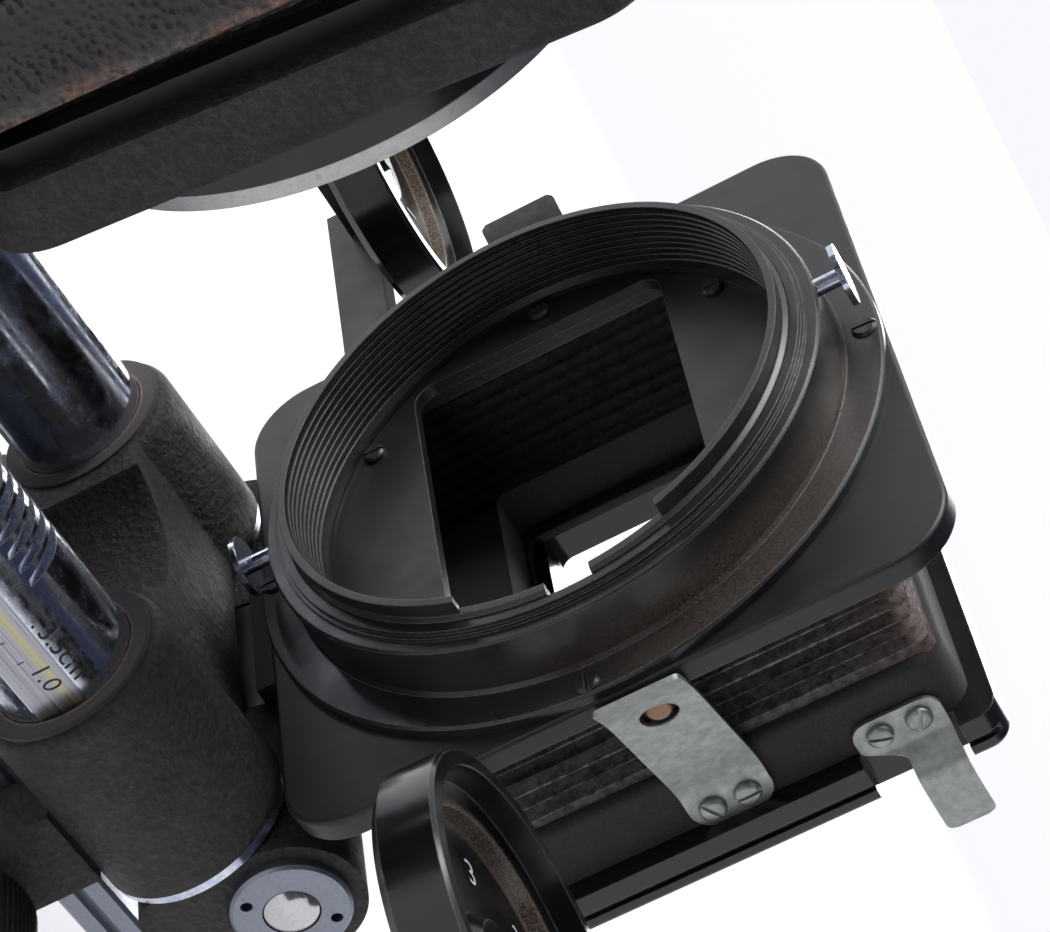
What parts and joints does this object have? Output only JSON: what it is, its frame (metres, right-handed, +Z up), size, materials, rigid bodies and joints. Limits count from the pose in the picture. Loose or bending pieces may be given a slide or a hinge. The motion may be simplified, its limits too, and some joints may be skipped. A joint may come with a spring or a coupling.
{
  "type": "bellows bench camera",
  "caption": "Bellows bench camera on two round rails, with a tilting lens standard, ground glass back and a square extendable bellows hood with a threaded front ring.",
  "frame": {"origin": "centre of the tripod block's lower face, on the axis of the tripod thread", "axes": "+X along the rails from the rear standard to the hood, +Z up, optical axis of the hood parallel to +X; the numbered rail is on the -Y side"},
  "size_m": [0.2515, 0.213, 0.158],
  "materials": {
    "black_wrinkle": "wrinkle",
    "black_satin": "satin",
    "black_gloss": "gloss",
    "chrome": "polished",
    "grey_satin": "satin",
    "bright_aluminium": "turned",
    "zinc": "zinc plated",
    "steel": "turned",
    "brass": "turned",
    "black_steel": "blackened",
    "wire": "tarnished",
    "felt": "felt",
    "leather": "grained",
    "flock": "flock",
    "glass": "coated",
    "frosted": "frosted",
    "knob": "knurled"
  },
  "bodies": {
    "bench": {"bed_bar": "grey_satin", "bar_rack": "steel", "tripod_block": "black_wrinkle", "tripod_bush": "brass", "far_rail": "chrome", "near_rail": "chrome", "centre_saddle": "black_wrinkle", "rear_carriage": "black_wrinkle", "bench_screws": "steel", "rear_frame": "black_wrinkle", "rear_bellows_frame": "black_satin", "glass_hinge_pin": "steel", "main_bellows": "leather"},
    "glass_back": {"glass_frame": "black_satin", "ground_glass": "frosted"},
    "lens_carriage_body": {"lens_carriage": "black_wrinkle", "lens_carriage_felts": "felt", "lens_carriage_caps": "chrome", "bellows_middle_frame": "black_satin", "front_bellows": "leather"},
    "lens_drive": {"lens_drive_pinion": "steel", "lens_drive_knobs": "knob"},
    "tilt_bolt_body": {"tilt_bolt": "steel"},
    "lens_standard": {"lens_frame": "black_wrinkle", "lens_bellows_frame": "black_satin", "lens_panel": "black_gloss", "lens_rim": "bright_aluminium", "lens_barrel": "black_satin", "lens_front_glass": "glass", "lens_rear_glass": "glass", "aperture_blades": "black_steel"},
    "aperture_ring_body": {"aperture_ring": "black_satin"},
    "hood_carriage_body": {"hood_carriage": "black_wrinkle", "hood_carriage_felts": "felt", "hood_sleeve_caps": "chrome", "pivot_discs": "chrome"},
    "hood_drive": {"hood_drive_pinion": "steel", "hood_drive_knobs": "knob"},
    "hood": {"hood_pivot_shaft": "steel", "hood_foot": "black_satin", "hood_plate": "black_satin", "hood_flange": "black_satin", "thread_ring": "black_satin", "inner_mask": "black_satin", "hood_screws": "black_steel", "latch_studs": "wire", "wheel_arms": "black_satin", "hood_bellows": "flock"},
    "pin_upper": {"spring_pin_upper": "chrome"},
    "pin_lower": {"spring_pin_lower": "chrome"},
    "wheel_near": {"side_wheel_near": "black_gloss"},
    "wheel_far": {"side_wheel_far": "black_gloss"},
    "hood_rear": {"hood_rear_frame": "flock", "hood_back_plate": "black_gloss"},
    "latch_near": {"latch_clip_near": "zinc"},
    "latch_far": {"latch_clip_far": "zinc"},
    "filter_near": {"filter_clip_near": "zinc"},
    "filter_far": {"filter_clip_far": "zinc"}
  },
  "joints": [
    {"name": "glass_back_hinge", "type": "hinge", "parent": "bench", "child": "glass_back", "pos_m": [-0.103, 0, 0.0575], "axis": [0, -1, 0], "range_deg": [0, 90]},
    {"name": "lens_slide", "type": "slide", "parent": "bench", "child": "lens_carriage_body", "axis": [1, 0, 0], "range_m": [-0.025, 0.03], "deforming": ["main_bellows"]},
    {"name": "lens_drive_turn", "type": "hinge", "parent": "lens_carriage_body", "child": "lens_drive", "pos_m": [-0.0143, 0, 0.0536], "axis": [0, 1, 0], "range_deg": [-345, 415]},
    {"name": "tilt_bolt_turn", "type": "hinge", "parent": "lens_carriage_body", "child": "tilt_bolt_body", "pos_m": [0, 0, 0.06], "axis": [0, 1, 0], "range_deg": [0, 120]},
    {"name": "lens_tilt", "type": "hinge", "parent": "lens_carriage_body", "child": "lens_standard", "pos_m": [0, 0, 0.06], "axis": [0, 1, 0], "range_deg": [-12, 10], "deforming": ["front_bellows"]},
    {"name": "aperture_turn", "type": "hinge", "parent": "lens_standard", "child": "aperture_ring_body", "pos_m": [0.00419, 0, 0.1043], "axis": [0.9956, 0, -0.0941], "range_deg": [-40, 40]},
    {"name": "hood_slide", "type": "slide", "parent": "bench", "child": "hood_carriage_body", "axis": [1, 0, 0], "range_m": [0, 0.01]},
    {"name": "hood_drive_turn", "type": "hinge", "parent": "hood_carriage_body", "child": "hood_drive", "pos_m": [0.077, 0, 0.0125], "axis": [0, 1, 0], "range_deg": [-100, 5]},
    {"name": "hood_tilt", "type": "hinge", "parent": "hood_carriage_body", "child": "hood", "pos_m": [0.097, 0, 0.048], "axis": [0, 1, 0], "range_deg": [0, 20]},
    {"name": "pin_upper_press", "type": "slide", "parent": "hood", "child": "pin_upper", "axis": [0, 0, -1], "range_m": [0, 0.001], "stiffness_N_per_m": 200, "springref_m": -0.001},
    {"name": "pin_lower_press", "type": "slide", "parent": "hood", "child": "pin_lower", "axis": [0, 0, 1], "range_m": [0, 0.001], "stiffness_N_per_m": 200, "springref_m": -0.001},
    {"name": "wheel_near_turn", "type": "hinge", "parent": "hood", "child": "wheel_near", "pos_m": [0.0787, -0.082, 0.078], "axis": [0, 0, 1], "continuous": true},
    {"name": "wheel_far_turn", "type": "hinge", "parent": "hood", "child": "wheel_far", "pos_m": [0.0787, 0.082, 0.078], "axis": [0, 0, 1], "continuous": true},
    {"name": "hood_draw", "type": "slide", "parent": "hood", "child": "hood_rear", "axis": [1, 0, 0], "range_m": [0, 0.06], "deforming": ["hood_bellows"]},
    {"name": "latch_near_lift", "type": "hinge", "parent": "hood_rear", "child": "latch_near", "pos_m": [0.1152, -0.0346, 0.1], "axis": [0, 0, 1], "range_deg": [0, 12], "stiffness_Nm_per_rad": 0.2, "springref_deg": -2.86},
    {"name": "latch_far_lift", "type": "hinge", "parent": "hood_rear", "child": "latch_far", "pos_m": [0.1152, 0.0346, 0.1], "axis": [0, 0, -1], "range_deg": [0, 12], "stiffness_Nm_per_rad": 0.2, "springref_deg": -2.86},
    {"name": "filter_near_lift", "type": "hinge", "parent": "hood_rear", "child": "filter_near", "pos_m": [0.111, -0.0346, 0.1225], "axis": [0, 0, -1], "range_deg": [0, 10], "stiffness_Nm_per_rad": 0.2, "springref_deg": -2.86},
    {"name": "filter_far_lift", "type": "hinge", "parent": "hood_rear", "child": "filter_far", "pos_m": [0.111, 0.0346, 0.1225], "axis": [0, 0, 1], "range_deg": [0, 10], "stiffness_Nm_per_rad": 0.2, "springref_deg": -2.86}
  ],
  "couplings": [
    {"joint": "lens_drive_turn", "follows": "lens_slide", "rad_per_m": 238.09},
    {"joint": "hood_drive_turn", "follows": "hood_slide", "rad_per_m": -166.67}
  ]
}
